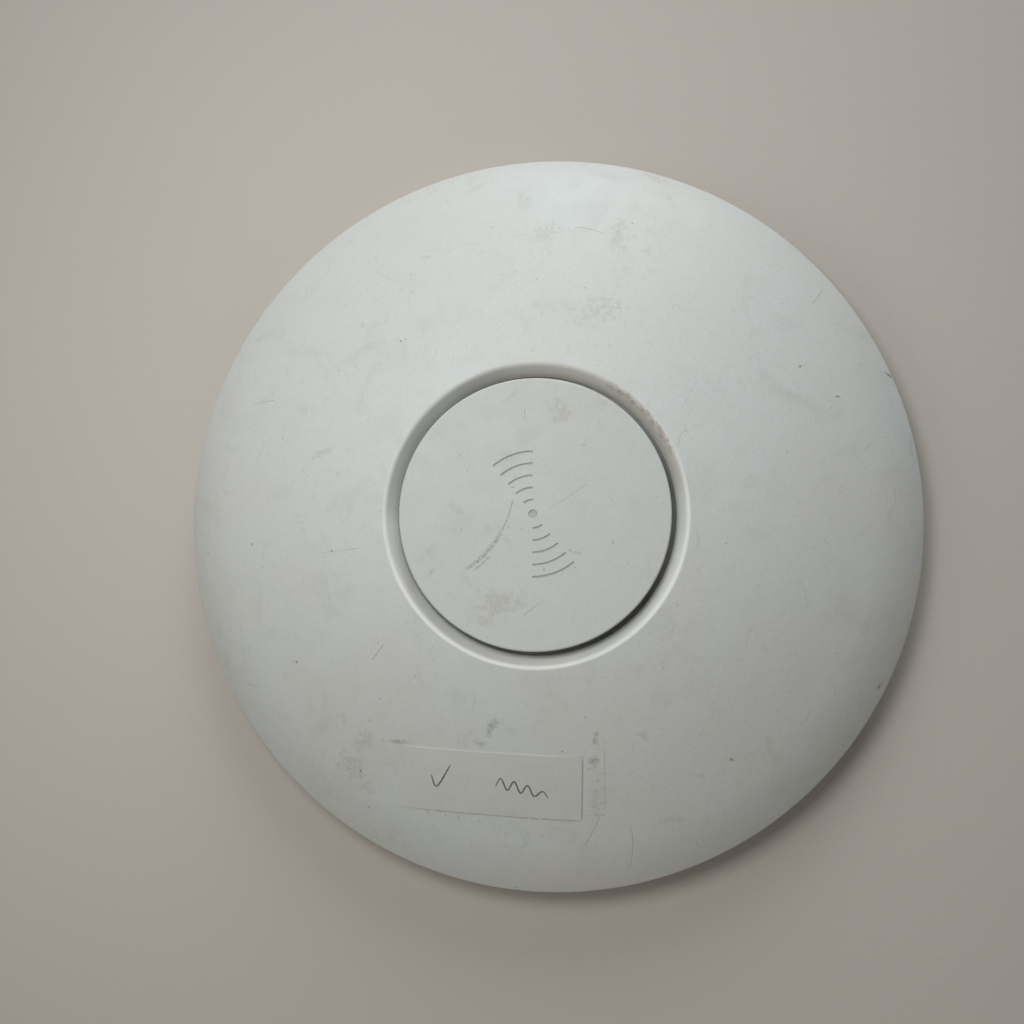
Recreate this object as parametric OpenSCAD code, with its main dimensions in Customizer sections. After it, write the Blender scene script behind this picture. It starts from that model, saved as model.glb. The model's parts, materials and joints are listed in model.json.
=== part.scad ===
// Round ceiling-mounted wireless access point: a shallow domed cover with a groove and a flat
// centre cap, a back shell with a port bay, and a twist-on bracket that stays on the ceiling.
// Origin: centre of the bracket's back face, which is the plane of the ceiling.
// +Z points away from the ceiling, out of the cover's face. Millimetres throughout.

/* [Housing] */
// Outer diameter of the front cover
body_d = 200; // [196:1:206]
// Height from the ceiling to the face of the centre cap
body_h = 36.5; // [36:0.1:38]
// Thickness of the moulded shells
wall = 2.2; // [1.8:0.1:2.4]
// Radius of curvature of the dome's shallow middle
dome_r = 220; // [214:1:230]
// Radius of curvature of the dome's shoulder, next to the rim
shoulder_r = 50; // [44:1:56]
// Distance from the axis at which the shoulder begins
shoulder_start = 85; // [83:1:87]
// Radius of the rounded rim edge
rim_edge_r = 1.2; // [1:0.1:1.4]

/* [Centre cap and groove] */
// Diameter of the centre cap
cap_d = 67.7; // [66:0.1:68.4]
// How far the groove's lip lies below the cap's face
lip_drop = 1.6; // [1.2:0.1:2]
// Radius of the rounded lip
lip_round = 1.3; // [1:0.05:1.9]
// Slope of the groove's wall, in degrees from the axis
groove_tilt = 31; // [28:1:33]
// Radius of the opening at the foot of the groove's wall
groove_r = 35.3; // [35.1:0.1:35.6]
// Depth of the groove's sloping wall below the cap's face
groove_depth = 5.5; // [5:0.1:5.8]

/* [Back shell] */
// Gap between the back shell and the ceiling
ceiling_gap = 1; // [0.6:0.1:1.4]
// Radius of the flat ring on the back
back_r = 83; // [81.5:0.5:85]
// Radius of the recess for the bracket
recess_r = 60; // [59.8:0.1:60.4]
// Inside width of the port bay
bay_w = 25; // [23:1:26]
// Inside length of the port bay
bay_l = 39; // [34:1:40]

/* [Bracket] */
// Radius of the bracket's plate
bracket_r = 56; // [55.5:0.1:56.1]
// Thickness of the bracket's plate
bracket_t = 2.4; // [2:0.1:2.4]
// Radius of the hole that the cable comes through
cable_hole_r = 26; // [20:1:28]
// Diameter of the circle of ceiling screws
screw_circle_d = 76; // [72:1:80]
// Diameter of each ceiling screw's hole
screw_hole_d = 4.4; // [3.6:0.1:5]
// Twist from locked to released, in degrees
twist_angle = 14; // [14:1:16]

/* [Board] */
// Radius of the main board
board_r = 59; // [58.5:0.5:61]
// Thickness of the main board
board_t = 1.6; // [1.4:0.1:1.6]

/* [Hidden] */
$fn = 96;
EPS = 0.01;

// --- dome: a large arc, a tangent shoulder arc and a tangent rim edge, all centred in one plane
body_r = body_d / 2;
cap_r = cap_d / 2;
lip_z = body_h - lip_drop;
groove_z = body_h - groove_depth;
groove_dir = [sin(groove_tilt), cos(groove_tilt)];
groove_normal = [cos(groove_tilt), -sin(groove_tilt)];
lip_r_guess = groove_r + 3.6;
dome_z = lip_z - sqrt(dome_r * dome_r - lip_r_guess * lip_r_guess);
shoulder_angle = asin(shoulder_start / dome_r);
shoulder_c = [
    (dome_r - shoulder_r) * sin(shoulder_angle),
    dome_z + (dome_r - shoulder_r) * cos(shoulder_angle)
];
rim_x = body_r - rim_edge_r;
rim_angle = asin((rim_x - shoulder_c[0]) / (shoulder_r - rim_edge_r));
rim_z = shoulder_c[1] + (shoulder_r - rim_edge_r) * cos(rim_angle);
rim_join = [
    shoulder_c[0] + shoulder_r * sin(rim_angle),
    shoulder_c[1] + shoulder_r * cos(rim_angle)
];
seam_z = rim_z - rim_edge_r;

// --- rounded lip: a circle that touches the groove's wall and the dome from inside
lip_base = [groove_r, groove_z - dome_z] + lip_round * groove_normal;
lip_along = lip_base * groove_dir;
lip_run = -lip_along
    + sqrt(lip_along * lip_along - lip_base * lip_base + pow(dome_r - lip_round, 2));
lip_c = [lip_base[0] + lip_run * groove_dir[0], dome_z + lip_base[1] + lip_run * groove_dir[1]];
lip_foot = lip_c - lip_round * groove_normal;
lip_r = lip_c[0] * dome_r / (dome_r - lip_round);

// --- heights of the stack inside
guide_top = groove_z - 1.1;
guide_t = 2.2;
recess_z = 7;
floor_t = 2;
floor_z = recess_z + floor_t;
board_z = floor_z + 3;
board_top = board_z + board_t;
boss_joint_z = 13;
bay_wall = 1.8;
bay_top = 25;
bay_y = 7;

// --- Ethernet jack, seen from the bay: width, height and depth
jack_w = 16.2;
jack_h = 11.4;
jack_l = 20;
jack_y = bay_y + 0.2;
socket_w = 11.7;
socket_h = 6.9;
socket_l = 13;
socket_z = board_top + 1.9;
latch_w = 6.2;
latch_h = 1.5;

// --- reset switch, beside the jack
reset_x = 11.1;
reset_z = board_top + 2;
reset_r = 0.9;
reset_y = 9.6;

// --- screws
cover_screw_r = 76;
cover_screw_seat = 6;
board_screw_xy = [[50, 22], [50, -22], [-54.5, -3], [-9, 52], [-13.5, -50]];

// --- status light and radio
led_angles = [35, 145, 215, 325];
led_circle_r = 36;
antenna_angle = 55;
antenna_h = 7.2;
shield_xy = [41, 0];
shield_size = [22, 26];
processor_xy = [-42, 4];

// --- bayonet and locking tab
tab_angles = [90, 210, 330];
tab_span = 12;
ledge_span = 12.5;
tab_lip_r = 59.3;
tab_lip_z = 4.7;
tab_top_z = 6.2;
ledge_r = 56.6;
ledge_top_z = 4.4;
lock_angle = 30;
lock_pivot = [48, -20];
lock_z = bracket_t + 0.4;
lock_t = 3;
lock_pin_r = 1.6;
nose_r = recess_r + 0.7;
nose_lift = 1;

// ---------------------------------------------------------------- helpers

// Ring sector of a given span, centred on an angle
module sector(r_in, r_out, span, h) {
    half = span / 2;
    far = r_out / cos(half) + 1;
    linear_extrude(h)
        intersection() {
            difference() {
                circle(r_out);
                circle(r_in);
            }
            polygon([[0, 0], far * [cos(half), -sin(half)], far * [cos(half), sin(half)]]);
        }
}

// Section turned through a span, centred on an angle
module revolve_span(span) {
    rotate(-span / 2)
        rotate_extrude(angle = span)
            children();
}

// Box with a given centre in plan, standing on the height z
module block(xy, size, z) {
    translate([xy[0] - size[0] / 2, xy[1] - size[1] / 2, z])
        cube(size);
}

// Rectangle with rounded corners, centred
module round_rect(size, r) {
    square([size[0] - 2 * r, size[1]], center = true);
    square([size[0], size[1] - 2 * r], center = true);
    for (sx = [-1, 1], sy = [-1, 1])
        translate([sx * (size[0] / 2 - r), sy * (size[1] / 2 - r)])
            circle(r);
}

module at_angles(angles) {
    for (a = angles)
        rotate(a)
            children();
}

module at_points(points) {
    for (p = points)
        translate([p[0], p[1], 0])
            children();
}

// Right half of the plane, above a height and out to a radius
module half_plane(r, z) {
    translate([0, z])
        square([r, body_h]);
}

// Screw with a pan head: the head hangs below z = 0 and the shank points up
module screw(shank_r, shank_l, head_r, head_h) {
    difference() {
        translate([0, 0, -head_h])
            cylinder(r = head_r, h = head_h);
        translate([0, 0, -head_h - EPS])
            for (turn = [0, 90])
                rotate(turn)
                    translate([-head_r * 0.55, -0.3, 0])
                        cube([head_r * 1.1, 0.6, head_h * 0.55]);
    }
    cylinder(r = shank_r, h = shank_l - shank_r);
    translate([0, 0, shank_l - shank_r])
        cylinder(r1 = shank_r, r2 = shank_r * 0.3, h = shank_r);
}

// ---------------------------------------------------------------- cover, cap and light guide

// Everything under the dome, in section
module dome_section() {
    intersection() {
        translate([0, dome_z])
            circle(dome_r, $fn = 720);
        half_plane(shoulder_start, rim_join[1]);
    }
    intersection() {
        translate(shoulder_c)
            circle(shoulder_r, $fn = 360);
        half_plane(body_r, rim_join[1]);
    }
    translate([rim_x, rim_z])
        circle(rim_edge_r);
    polygon([[0, seam_z], [rim_x, seam_z], [rim_x, rim_z], rim_join, [0, rim_join[1]]]);
}

// The same, a distance inside the dome, open at the bottom
module dome_inside(inset) {
    intersection() {
        union() {
            intersection() {
                translate([0, dome_z])
                    circle(dome_r - inset, $fn = 720);
                half_plane(shoulder_start * (1 - inset / dome_r), seam_z - 1);
            }
            translate(shoulder_c)
                circle(shoulder_r - inset, $fn = 360);
        }
        half_plane(body_r - inset, seam_z - 1);
    }
}

// Lip, sloping wall and short sleeve of the groove, in section
module groove_section() {
    sleeve_r = groove_r + wall;
    dome_under = dome_z + sqrt(pow(dome_r - wall / 2, 2) - pow(lip_r + 1, 2));
    translate(lip_c)
        circle(lip_round);
    polygon([
        lip_c, lip_foot, [groove_r, groove_z], [groove_r, guide_top], [sleeve_r, guide_top],
        [sleeve_r, groove_z + 0.6], [lip_r + 1, dome_under - wall], [lip_r + 1, dome_under]
    ]);
}

module front_cover() {
    color("whitesmoke") {
        rotate_extrude() {
            difference() {
                dome_section();
                dome_inside(wall);
                square([lip_r, body_h * 2]);
            }
            groove_section();
        }
        difference() {
            intersection() {
                at_angles([45, 135, 225, 315])
                    translate([cover_screw_r, 0, boss_joint_z])
                        cylinder(r = 3.6, h = body_h);
                rotate_extrude()
                    dome_inside(wall / 2);
            }
            at_angles([45, 135, 225, 315])
                translate([cover_screw_r, 0, 0])
                    cylinder(r = 1.55, h = 20.5);
        }
    }
}

// Centre cap: a flat disc with a skirt that sits on the light guide, and three snap hooks.
// Its mark is a plain dot between two fans of arcs, as for radio waves.
module centre_cap() {
    edge = 0.45;
    skirt_t = 1.9;
    engrave = 0.3;
    mark_angle = 110;
    mark_span = 40;
    hook_r = 30.6;
    hook_z = guide_top - guide_t - 1.1;
    color("whitesmoke")
        difference() {
            union() {
                rotate_extrude() {
                    translate([cap_r - edge, body_h - edge])
                        circle(edge);
                    translate([0, body_h - wall])
                        square([cap_r - edge, wall]);
                    translate([cap_r - skirt_t, guide_top])
                        square([skirt_t, body_h - edge - guide_top]);
                }
                at_angles([90, 210, 330])
                    revolve_span(14)
                        polygon([
                            [29, hook_z], [hook_r + 0.6, hook_z], [hook_r + 0.9, hook_z + 0.9],
                            [hook_r, hook_z + 0.9], [hook_r, body_h - 1], [29, body_h - 1]
                        ]);
            }
            translate([0, 0, body_h - engrave]) {
                cylinder(r = 1.1, h = 1);
                for (side = [0, 180], r = [3.5 : 3 : 15.5])
                    rotate(mark_angle + side)
                        sector(r - 0.25, r + 0.25, mark_span, 1);
            }
        }
}

// Clear ring under the gap, with a collar round the groove's sleeve and one pipe over each LED
module light_guide() {
    color("honeydew") {
        rotate_extrude() {
            translate([31, guide_top - guide_t])
                square([groove_r + wall + 0.1 - 31, guide_t]);
            translate([groove_r + wall + 0.1, guide_top - guide_t])
                square([1.3, guide_t + 1.2]);
        }
        at_angles(led_angles)
            translate([led_circle_r - 1.6, 0, board_top + 1.4])
                cylinder(r = 2.2, h = guide_top - board_top - 2.4);
    }
}

// ---------------------------------------------------------------- back shell

// Back shell in section: recess, flat back ring, sloping side and a locating tongue
module base_section() {
    side_top = seam_z - 0.3;
    slope = (side_top - 0.5 - ceiling_gap) / (rim_x - 0.2 - back_r);
    lift = 2 * sqrt(1 + slope * slope);
    tongue_r = rim_x - 3.6;
    inner_foot = back_r + (2 - lift) / slope;
    polygon([
        [0, recess_z], [recess_r, recess_z], [recess_r, ceiling_gap], [back_r, ceiling_gap],
        [rim_x - 0.2, side_top - 0.5], [rim_x - 0.2, side_top], [tongue_r, side_top],
        [tongue_r, side_top + 2.6], [tongue_r - 1.8, side_top + 2.6],
        [tongue_r - 1.8, ceiling_gap + lift + slope * (tongue_r - 1.8 - back_r)],
        [inner_foot, ceiling_gap + 2], [recess_r + 2, ceiling_gap + 2],
        [recess_r + 2, floor_z], [0, floor_z]
    ]);
}

// Ramp cut into the recess wall: its radius falls as the shell twists, pressing the nose in
module lock_ramp() {
    start = nose_r + 0.3;
    inside = recess_r - 1.5;
    ramp_angles = [for (a = [0 : 2 : twist_angle]) -a];
    translate([0, 0, lock_z - 0.5])
        linear_extrude(lock_t + 1)
            polygon(concat(
                [start * [cos(2.6), sin(2.6)]],
                [for (a = ramp_angles) (start + nose_lift * a / twist_angle) * [cos(a), sin(a)]],
                [inside * [cos(twist_angle), -sin(twist_angle)], inside * [cos(2.6), sin(2.6)]]
            ));
}

module base_housing() {
    bay_c = [0, bay_y - bay_l / 2];
    color("gainsboro")
        difference() {
            union() {
                rotate_extrude()
                    base_section();
                at_angles(tab_angles)
                    translate([0, 0, ceiling_gap])
                        sector(ledge_r, recess_r + 1, ledge_span, ledge_top_z - ceiling_gap);
                translate([bay_c[0], bay_c[1], recess_z])
                    linear_extrude(bay_top + bay_wall - recess_z)
                        round_rect([bay_w + 2 * bay_wall, bay_l + 2 * bay_wall], 3);
                at_points(board_screw_xy)
                    translate([0, 0, recess_z + 1])
                        cylinder(r = 3, h = board_z - recess_z - 1);
                at_angles([45, 135, 225, 315])
                    translate([cover_screw_r, 0, ceiling_gap])
                        cylinder(r = 4.8, h = boss_joint_z - ceiling_gap);
            }
            translate([bay_c[0], bay_c[1], 0])
                linear_extrude(bay_top)
                    round_rect([bay_w, bay_l], 1.5);
            block([0, bay_y + bay_wall / 2], [jack_w + 0.6, bay_wall + 0.4, jack_h + 0.5], board_top - 0.2);
            translate([reset_x, bay_y - 1, reset_z])
                rotate([-90, 0, 0])
                    cylinder(r = reset_r + 0.25, h = bay_wall + 2);
            at_points(board_screw_xy)
                translate([0, 0, board_z - 4.2])
                    cylinder(r = 1.15, h = 5);
            at_angles([45, 135, 225, 315])
                translate([cover_screw_r, 0, 0]) {
                    cylinder(r = 3.4, h = cover_screw_seat);
                    cylinder(r = 1.7, h = body_h);
                }
            rotate(lock_angle)
                lock_ramp();
        }
}

// Blank paper label on the flat back ring
module rating_label() {
    color("white")
        translate([0, -72, ceiling_gap - 0.15])
            linear_extrude(0.15)
                round_rect([40, 13], 1);
}

// ---------------------------------------------------------------- bracket and locking tab

module mounting_bracket() {
    color("lightgray")
        difference() {
            union() {
                rotate_extrude() {
                    translate([cable_hole_r, 0])
                        square([bracket_r - cable_hole_r, bracket_t]);
                    translate([cable_hole_r, 0])
                        square([1.8, bracket_t + 1.6]);
                }
                at_angles([45, 135, 225, 315])
                    translate([screw_circle_d / 2, 0, bracket_t / 2])
                        cylinder(r = 5.6, h = bracket_t / 2 + 0.8);
                at_angles(tab_angles)
                    bayonet_tab();
                rotate(lock_angle)
                    translate([lock_pivot[0], lock_pivot[1], bracket_t / 2])
                        cylinder(r = lock_pin_r, h = tab_top_z - bracket_t / 2);
            }
            at_angles([45, 135, 225, 315])
                translate([screw_circle_d / 2, 0, -1])
                    cylinder(d = screw_hole_d, h = bracket_t + 3);
        }
}

// Tab with an outward lip over the shell's ledge, and a stop that the ledge turns up against
module bayonet_tab() {
    stop_span = 2.4;
    stop_angle = -ledge_span / 2 - 0.5 - stop_span / 2;
    wall_span = tab_span / 2 + stop_span / 2 - stop_angle;
    wall_r = bracket_r - 0.2;
    foot_z = bracket_t / 2;
    rotate((tab_span - wall_span) / 2)
        revolve_span(wall_span)
            polygon([
                [wall_r - 2.2, foot_z], [wall_r, foot_z], [wall_r, tab_lip_z], [tab_lip_r, tab_lip_z],
                [tab_lip_r, tab_top_z], [wall_r - 2.2, tab_top_z]
            ]);
    rotate(stop_angle + 0.2)
        translate([0, 0, foot_z])
            sector(wall_r - 1, tab_lip_r - 0.4, stop_span, tab_lip_z + 0.5 - foot_z);
}

// Springy finger with an eye at its root and a nose that drops into the ramp's deep end
module locking_tab() {
    shoulder = [51, -1.6];
    color("darkgray")
        rotate(lock_angle)
            translate([0, 0, lock_z])
                linear_extrude(lock_t)
                    difference() {
                        union() {
                            translate(lock_pivot)
                                circle(3.4);
                            polygon([
                                lock_pivot + [-1.4, 0], lock_pivot + [1.6, 0], shoulder + [1.8, 0],
                                [nose_r - 1.2, -1.6], [nose_r, -0.8], [nose_r, 0.8],
                                [nose_r - 1.2, 1.6], [50, 2.4]
                            ]);
                        }
                        translate(lock_pivot)
                            circle(lock_pin_r + 0.06);
                    }
}

// ---------------------------------------------------------------- board and jack

module main_board() {
    notch_w = bay_w + 2 * bay_wall + 1;
    notch_y = bay_y + bay_wall + 0.4;
    color("darkgreen")
        translate([0, 0, board_z])
            linear_extrude(board_t)
                difference() {
                    circle(board_r);
                    translate([-notch_w / 2, notch_y - bay_l - 2 * bay_wall - 1])
                        square([notch_w, bay_l + 2 * bay_wall + 1]);
                    for (p = board_screw_xy)
                        translate(p)
                            circle(1.4);
                }
}

// Plastic body of the Ethernet socket, with the latch slot towards the board
module ethernet_jack() {
    sheet = 0.3;
    body_w = jack_w - 2 * sheet;
    color("#2b2b2e")
        difference() {
            translate([-body_w / 2, jack_y + sheet, board_top + 0.1])
                cube([body_w, jack_l - 2 * sheet, jack_h - sheet - 0.1]);
            translate([-socket_w / 2, jack_y - 1, socket_z])
                cube([socket_w, socket_l + 1, socket_h]);
            translate([-latch_w / 2, jack_y - 1, socket_z - latch_h])
                cube([latch_w, socket_l + 1, latch_h + 1]);
        }
}

// Tin-plated shield folded round the jack, open at its mouth
module jack_shield() {
    sheet = 0.3;
    mouth_w = socket_w + 0.8;
    color("silver")
        difference() {
            translate([-jack_w / 2, jack_y, board_top])
                cube([jack_w, jack_l, jack_h]);
            translate([-jack_w / 2 + sheet, jack_y + sheet, board_top - 1])
                cube([jack_w - 2 * sheet, jack_l - 2 * sheet, jack_h - sheet + 1]);
            translate([-mouth_w / 2, jack_y - 1, board_top - 1])
                cube([mouth_w, 2, jack_h - 0.9]);
        }
}

// Eight gold-plated contact wires that slope back from the socket's upper lip
module jack_contacts() {
    pitch = 1.02;
    wire = 0.4;
    top = socket_z + socket_h;
    color("gold")
        for (i = [0 : 7])
            translate([(i - 3.5) * pitch - wire / 2, 0, 0])
                rotate([90, 0, 90])
                    linear_extrude(wire)
                        polygon([
                            [jack_y + 2, top], [jack_y + 3, top], [jack_y + socket_l - 1, top - 1.7],
                            [jack_y + socket_l, top - 1.4], [jack_y + socket_l, top - 1.8],
                            [jack_y + socket_l - 1, top - 2.1]
                        ]);
}

// Side-facing push switch; its plunger stands behind the pinhole in the bay's end wall
module reset_switch() {
    color("#303034")
        difference() {
            translate([reset_x - 1.9, reset_y, board_top])
                cube([3.8, 3.6, 3.7]);
            translate([reset_x, reset_y - 1, reset_z])
                rotate([-90, 0, 0])
                    cylinder(r = reset_r + 0.08, h = 2.7);
        }
}

module reset_plunger() {
    front = bay_y + 0.9;
    color("ivory")
        translate([reset_x, front, reset_z])
            rotate([-90, 0, 0])
                cylinder(r = reset_r, h = reset_y + 1.2 - front);
}

module status_leds() {
    color("lightyellow")
        at_angles(led_angles)
            block([led_circle_r - 1.6, 0], [2.8, 3.5, 1.2], board_top);
}

// ---------------------------------------------------------------- radio

// Stamped inverted-F antenna: a raised plate on a feed leg and a ground leg, with folded ends
module antenna() {
    sheet = 0.4;
    depth = 10;
    length = 30;
    radius = 45;
    leg_w = 2.4;
    color("silver")
        translate([radius, -length / 2, board_top]) {
            difference() {
                translate([0, 0, antenna_h - sheet])
                    cube([depth, length, sheet]);
                translate([2.6, 7, antenna_h - 1])
                    cube([1.4, length - 13, 2]);
            }
            for (y = [0, 6])
                translate([0, y, 0])
                    cube([sheet, leg_w, antenna_h]);
            for (y = [0, length - sheet])
                translate([3, y, antenna_h - 3.4])
                    cube([depth - 3, sheet, 3.4]);
        }
}

module antenna_upper() {
    rotate(antenna_angle)
        antenna();
}

module antenna_lower() {
    mirror([0, 1, 0])
        rotate(antenna_angle)
            antenna();
}

// Fence soldered round the radio
module radio_shield_frame() {
    fence = 0.4;
    color("silver")
        difference() {
            block(shield_xy, [shield_size[0], shield_size[1], 2.4], board_top);
            block(shield_xy, [shield_size[0] - 2 * fence, shield_size[1] - 2 * fence, 4], board_top - 1);
        }
}

// Lid that snaps over the fence, with rows of vent holes
module radio_shield_lid() {
    sheet = 0.3;
    outer = shield_size + [2 * sheet + 0.1, 2 * sheet + 0.1];
    color("silver")
        difference() {
            block(shield_xy, [outer[0], outer[1], 1.9 + sheet], board_top + 0.5);
            block(shield_xy, [shield_size[0] + 0.1, shield_size[1] + 0.1, 2.4], board_top);
            at_points([for (x = [-6 : 4 : 6], y = [-8 : 4 : 8]) shield_xy + [x, y]])
                translate([0, 0, board_top])
                    cylinder(r = 0.8, h = 5);
        }
}

module radio_chip() {
    color("#303034")
        block(shield_xy - [1, 0], [10, 10, 0.9], board_top);
}

module power_amplifiers() {
    color("#303034")
        for (side = [-1, 1])
            block(shield_xy + [6.5, side * 8], [3, 3, 0.8], board_top);
}

// ---------------------------------------------------------------- board components

module processor() {
    color("#303034")
        block(processor_xy, [15, 15, 1.3], board_top);
}

module memory_chip() {
    color("#303034")
        block([-42, -18], [10.2, 20, 1.1], board_top);
}

module flash_chip() {
    color("#303034")
        block([-22, -4], [8, 5.3, 1.8], board_top);
}

module ethernet_controller() {
    color("#303034")
        block([17, 34], [9, 9, 0.9], board_top);
}

module ethernet_transformer() {
    color("#303034")
        block([0, 36], [15, 10, 5.6], board_top);
}

// Shielded coils: a square ferrite with a round drum on top
module power_inductors() {
    color("dimgray")
        for (coil = [[-38, 27, 10, 4.2], [-22, 32, 7, 3.4]]) {
            block([coil[0], coil[1]], [coil[2], coil[2], coil[3] * 0.8], board_top);
            translate([coil[0], coil[1], board_top])
                cylinder(d = coil[2] * 0.76, h = coil[3]);
        }
}

// Aluminium cans on square plastic feet
module electrolytic_capacitors() {
    color("silver")
        for (xy = [[-17, 45], [-27, 42]]) {
            block(xy, [8.2, 8.2, 1], board_top);
            translate([xy[0], xy[1], board_top])
                cylinder(r = 3.9, h = 9);
        }
}

module crystals() {
    color("silver") {
        block([-27, 8], [9.5, 4, 3.2], board_top);
        block([24, -6], [5, 3.2, 1.1], board_top);
    }
}

// Rows of small capacitors and resistors
module chip_components() {
    color("tan")
        for (row = [[-30, 13.6, 5], [18, -12, 4], [-25, -13, 3], [-14, 32, 2], [18, 6, 4], [-2, 45, 3]])
            for (i = [0 : row[2] - 1])
                block([row[0] + 2.6 * i, row[1]], [1.6, 0.9, 0.8], board_top);
}

// Aluminium plate on the back shell's floor, clear of the bay, the jack's pins and the posts
module heat_spreader() {
    notch_w = bay_w + 2 * bay_wall + 1.4;
    color("lightsteelblue")
        translate([0, 0, floor_z])
            linear_extrude(1)
                difference() {
                    circle(57);
                    translate([-notch_w / 2, bay_y + bay_wall - bay_l - 4])
                        square([notch_w, bay_l + 26]);
                    for (p = board_screw_xy)
                        translate(p)
                            circle(3.5);
                }
}

module thermal_pad() {
    color("lightpink")
        block(processor_xy, [15, 15, board_z - floor_z - 1], floor_z + 1);
}

// ---------------------------------------------------------------- screws and tape

module board_screws() {
    color("gray")
        at_points(board_screw_xy)
            translate([0, 0, board_top])
                rotate([180, 0, 0])
                    screw(1.1, 5.4, 2.4, 1.5);
}

module cover_screws() {
    color("gray")
        at_angles([45, 135, 225, 315])
            translate([cover_screw_r, 0, cover_screw_seat])
                screw(1.5, 14, 2.8, 2.2);
}

// Strip of paper tape that follows the dome
module tape_strip() {
    tape_t = 0.12;
    color("ivory")
        intersection() {
            difference() {
                translate([0, 0, dome_z])
                    sphere(dome_r + tape_t);
                translate([0, 0, dome_z])
                    sphere(dome_r);
            }
            translate([-12.7, -68, seam_z])
                rotate(-1.8)
                    linear_extrude(body_h)
                        square([48, 17.1], center = true);
        }
}

// ---------------------------------------------------------------- assembly

mounting_bracket();
locking_tab();
base_housing();
front_cover();
centre_cap();
light_guide();
main_board();
ethernet_jack();
jack_shield();
jack_contacts();
reset_switch();
reset_plunger();
status_leds();
antenna_upper();
antenna_lower();
heat_spreader();
thermal_pad();
radio_shield_frame();
radio_shield_lid();
processor();
memory_chip();
flash_chip();
ethernet_controller();
radio_chip();
power_amplifiers();
ethernet_transformer();
power_inductors();
electrolytic_capacitors();
crystals();
chip_components();
board_screws();
cover_screws();
rating_label();
tape_strip();
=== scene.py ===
"""Looks for the round ceiling access point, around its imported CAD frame. Lengths are in metres."""

import json
import math

import bmesh
import bpy
from mathutils import Matrix, Vector, noise


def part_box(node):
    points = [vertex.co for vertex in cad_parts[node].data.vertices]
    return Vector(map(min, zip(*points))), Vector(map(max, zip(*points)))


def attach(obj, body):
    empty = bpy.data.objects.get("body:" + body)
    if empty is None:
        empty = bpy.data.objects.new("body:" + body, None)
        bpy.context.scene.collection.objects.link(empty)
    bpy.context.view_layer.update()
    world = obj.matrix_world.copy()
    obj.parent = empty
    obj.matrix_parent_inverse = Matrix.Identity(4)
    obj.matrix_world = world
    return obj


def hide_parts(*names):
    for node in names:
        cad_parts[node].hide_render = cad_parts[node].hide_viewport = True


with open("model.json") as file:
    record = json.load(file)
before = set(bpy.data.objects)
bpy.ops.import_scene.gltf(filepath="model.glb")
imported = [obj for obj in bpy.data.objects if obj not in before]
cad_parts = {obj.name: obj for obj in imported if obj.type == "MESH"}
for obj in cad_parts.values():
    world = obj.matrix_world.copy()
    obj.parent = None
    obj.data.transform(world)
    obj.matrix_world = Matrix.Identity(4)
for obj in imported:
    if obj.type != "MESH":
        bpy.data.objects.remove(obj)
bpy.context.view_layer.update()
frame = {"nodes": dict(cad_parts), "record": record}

# ---------------------------------------------------------------- sizes

MM = 0.001
COVER_LOW, COVER_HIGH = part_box("front_cover")
CAP_LOW, CAP_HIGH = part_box("centre_cap")
BODY_R = COVER_HIGH.x
FACE_Z = CAP_HIGH.z
CAP_R = CAP_HIGH.x
SEAM_Z = COVER_LOW.z

WALL = 2.2 * MM
DOME_R = 220 * MM
SHOULDER_R = 50 * MM
SHOULDER_START = 85 * MM
RIM_EDGE_R = 1.2 * MM
GROOVE_R = 35.3 * MM
GROOVE_TILT = math.radians(31)
GROOVE_Z = FACE_Z - 5.5 * MM
GUIDE_TOP = GROOVE_Z - 1.1 * MM
LIP_Z = FACE_Z - 1.6 * MM
LIP_R = GROOVE_R + 3.6 * MM
LIP_ROUND = 1.3 * MM

MARK_ANGLE = math.radians(110)
MARK_HALF_SPAN = math.radians(20)
MARK_RADII = [3.5 * MM, 6.5 * MM, 9.5 * MM, 12.5 * MM, 15.5 * MM]
MARK_DOT = 1.1 * MM
MARK_HALF_WIDTH = 0.25 * MM
MARK_DEPTH = 0.3 * MM

TAPE_CENTRE = Vector((-12.7 * MM, -68 * MM))
TAPE_ANGLE = math.radians(-1.8)
TAPE_SIZE = (48 * MM, 17.1 * MM)
TAPE_T = 0.12 * MM


def direction(angle):
    """Unit vector in a section (radius, height), at an angle from +Z towards the rim."""
    return Vector((math.sin(angle), math.cos(angle)))


class Dome:
    """The cover's outer section: a large arc, a tangent shoulder arc and a tangent rim edge."""

    centre = Vector((0, LIP_Z - math.sqrt(DOME_R**2 - LIP_R**2)))
    shoulder_angle = math.asin(SHOULDER_START / DOME_R)
    shoulder_centre = centre + (DOME_R - SHOULDER_R) * direction(shoulder_angle)
    rim_x = BODY_R - RIM_EDGE_R
    rim_angle = math.asin((rim_x - shoulder_centre.x) / (SHOULDER_R - RIM_EDGE_R))
    rim_centre = shoulder_centre + (SHOULDER_R - RIM_EDGE_R) * direction(rim_angle)

    @classmethod
    def height(cls, x, y):
        """Height of the outer surface over a point of the plan, out to the shoulder."""
        return cls.centre.y + math.sqrt(DOME_R**2 - x * x - y * y)


# ---------------------------------------------------------------- mesh helpers


def arc(centre, radius, start, end, steps):
    """Points of a section's arc. Angles run from +Z towards the rim."""
    angles = [start + (end - start) * i / steps for i in range(steps + 1)]
    return [centre + radius * direction(a) for a in angles]


def spaced(start, end, step):
    """Evenly spaced values from start to end, no further apart than step."""
    count = max(1, math.ceil(abs(end - start) / step))
    return [start + (end - start) * i / count for i in range(count + 1)]


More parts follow.
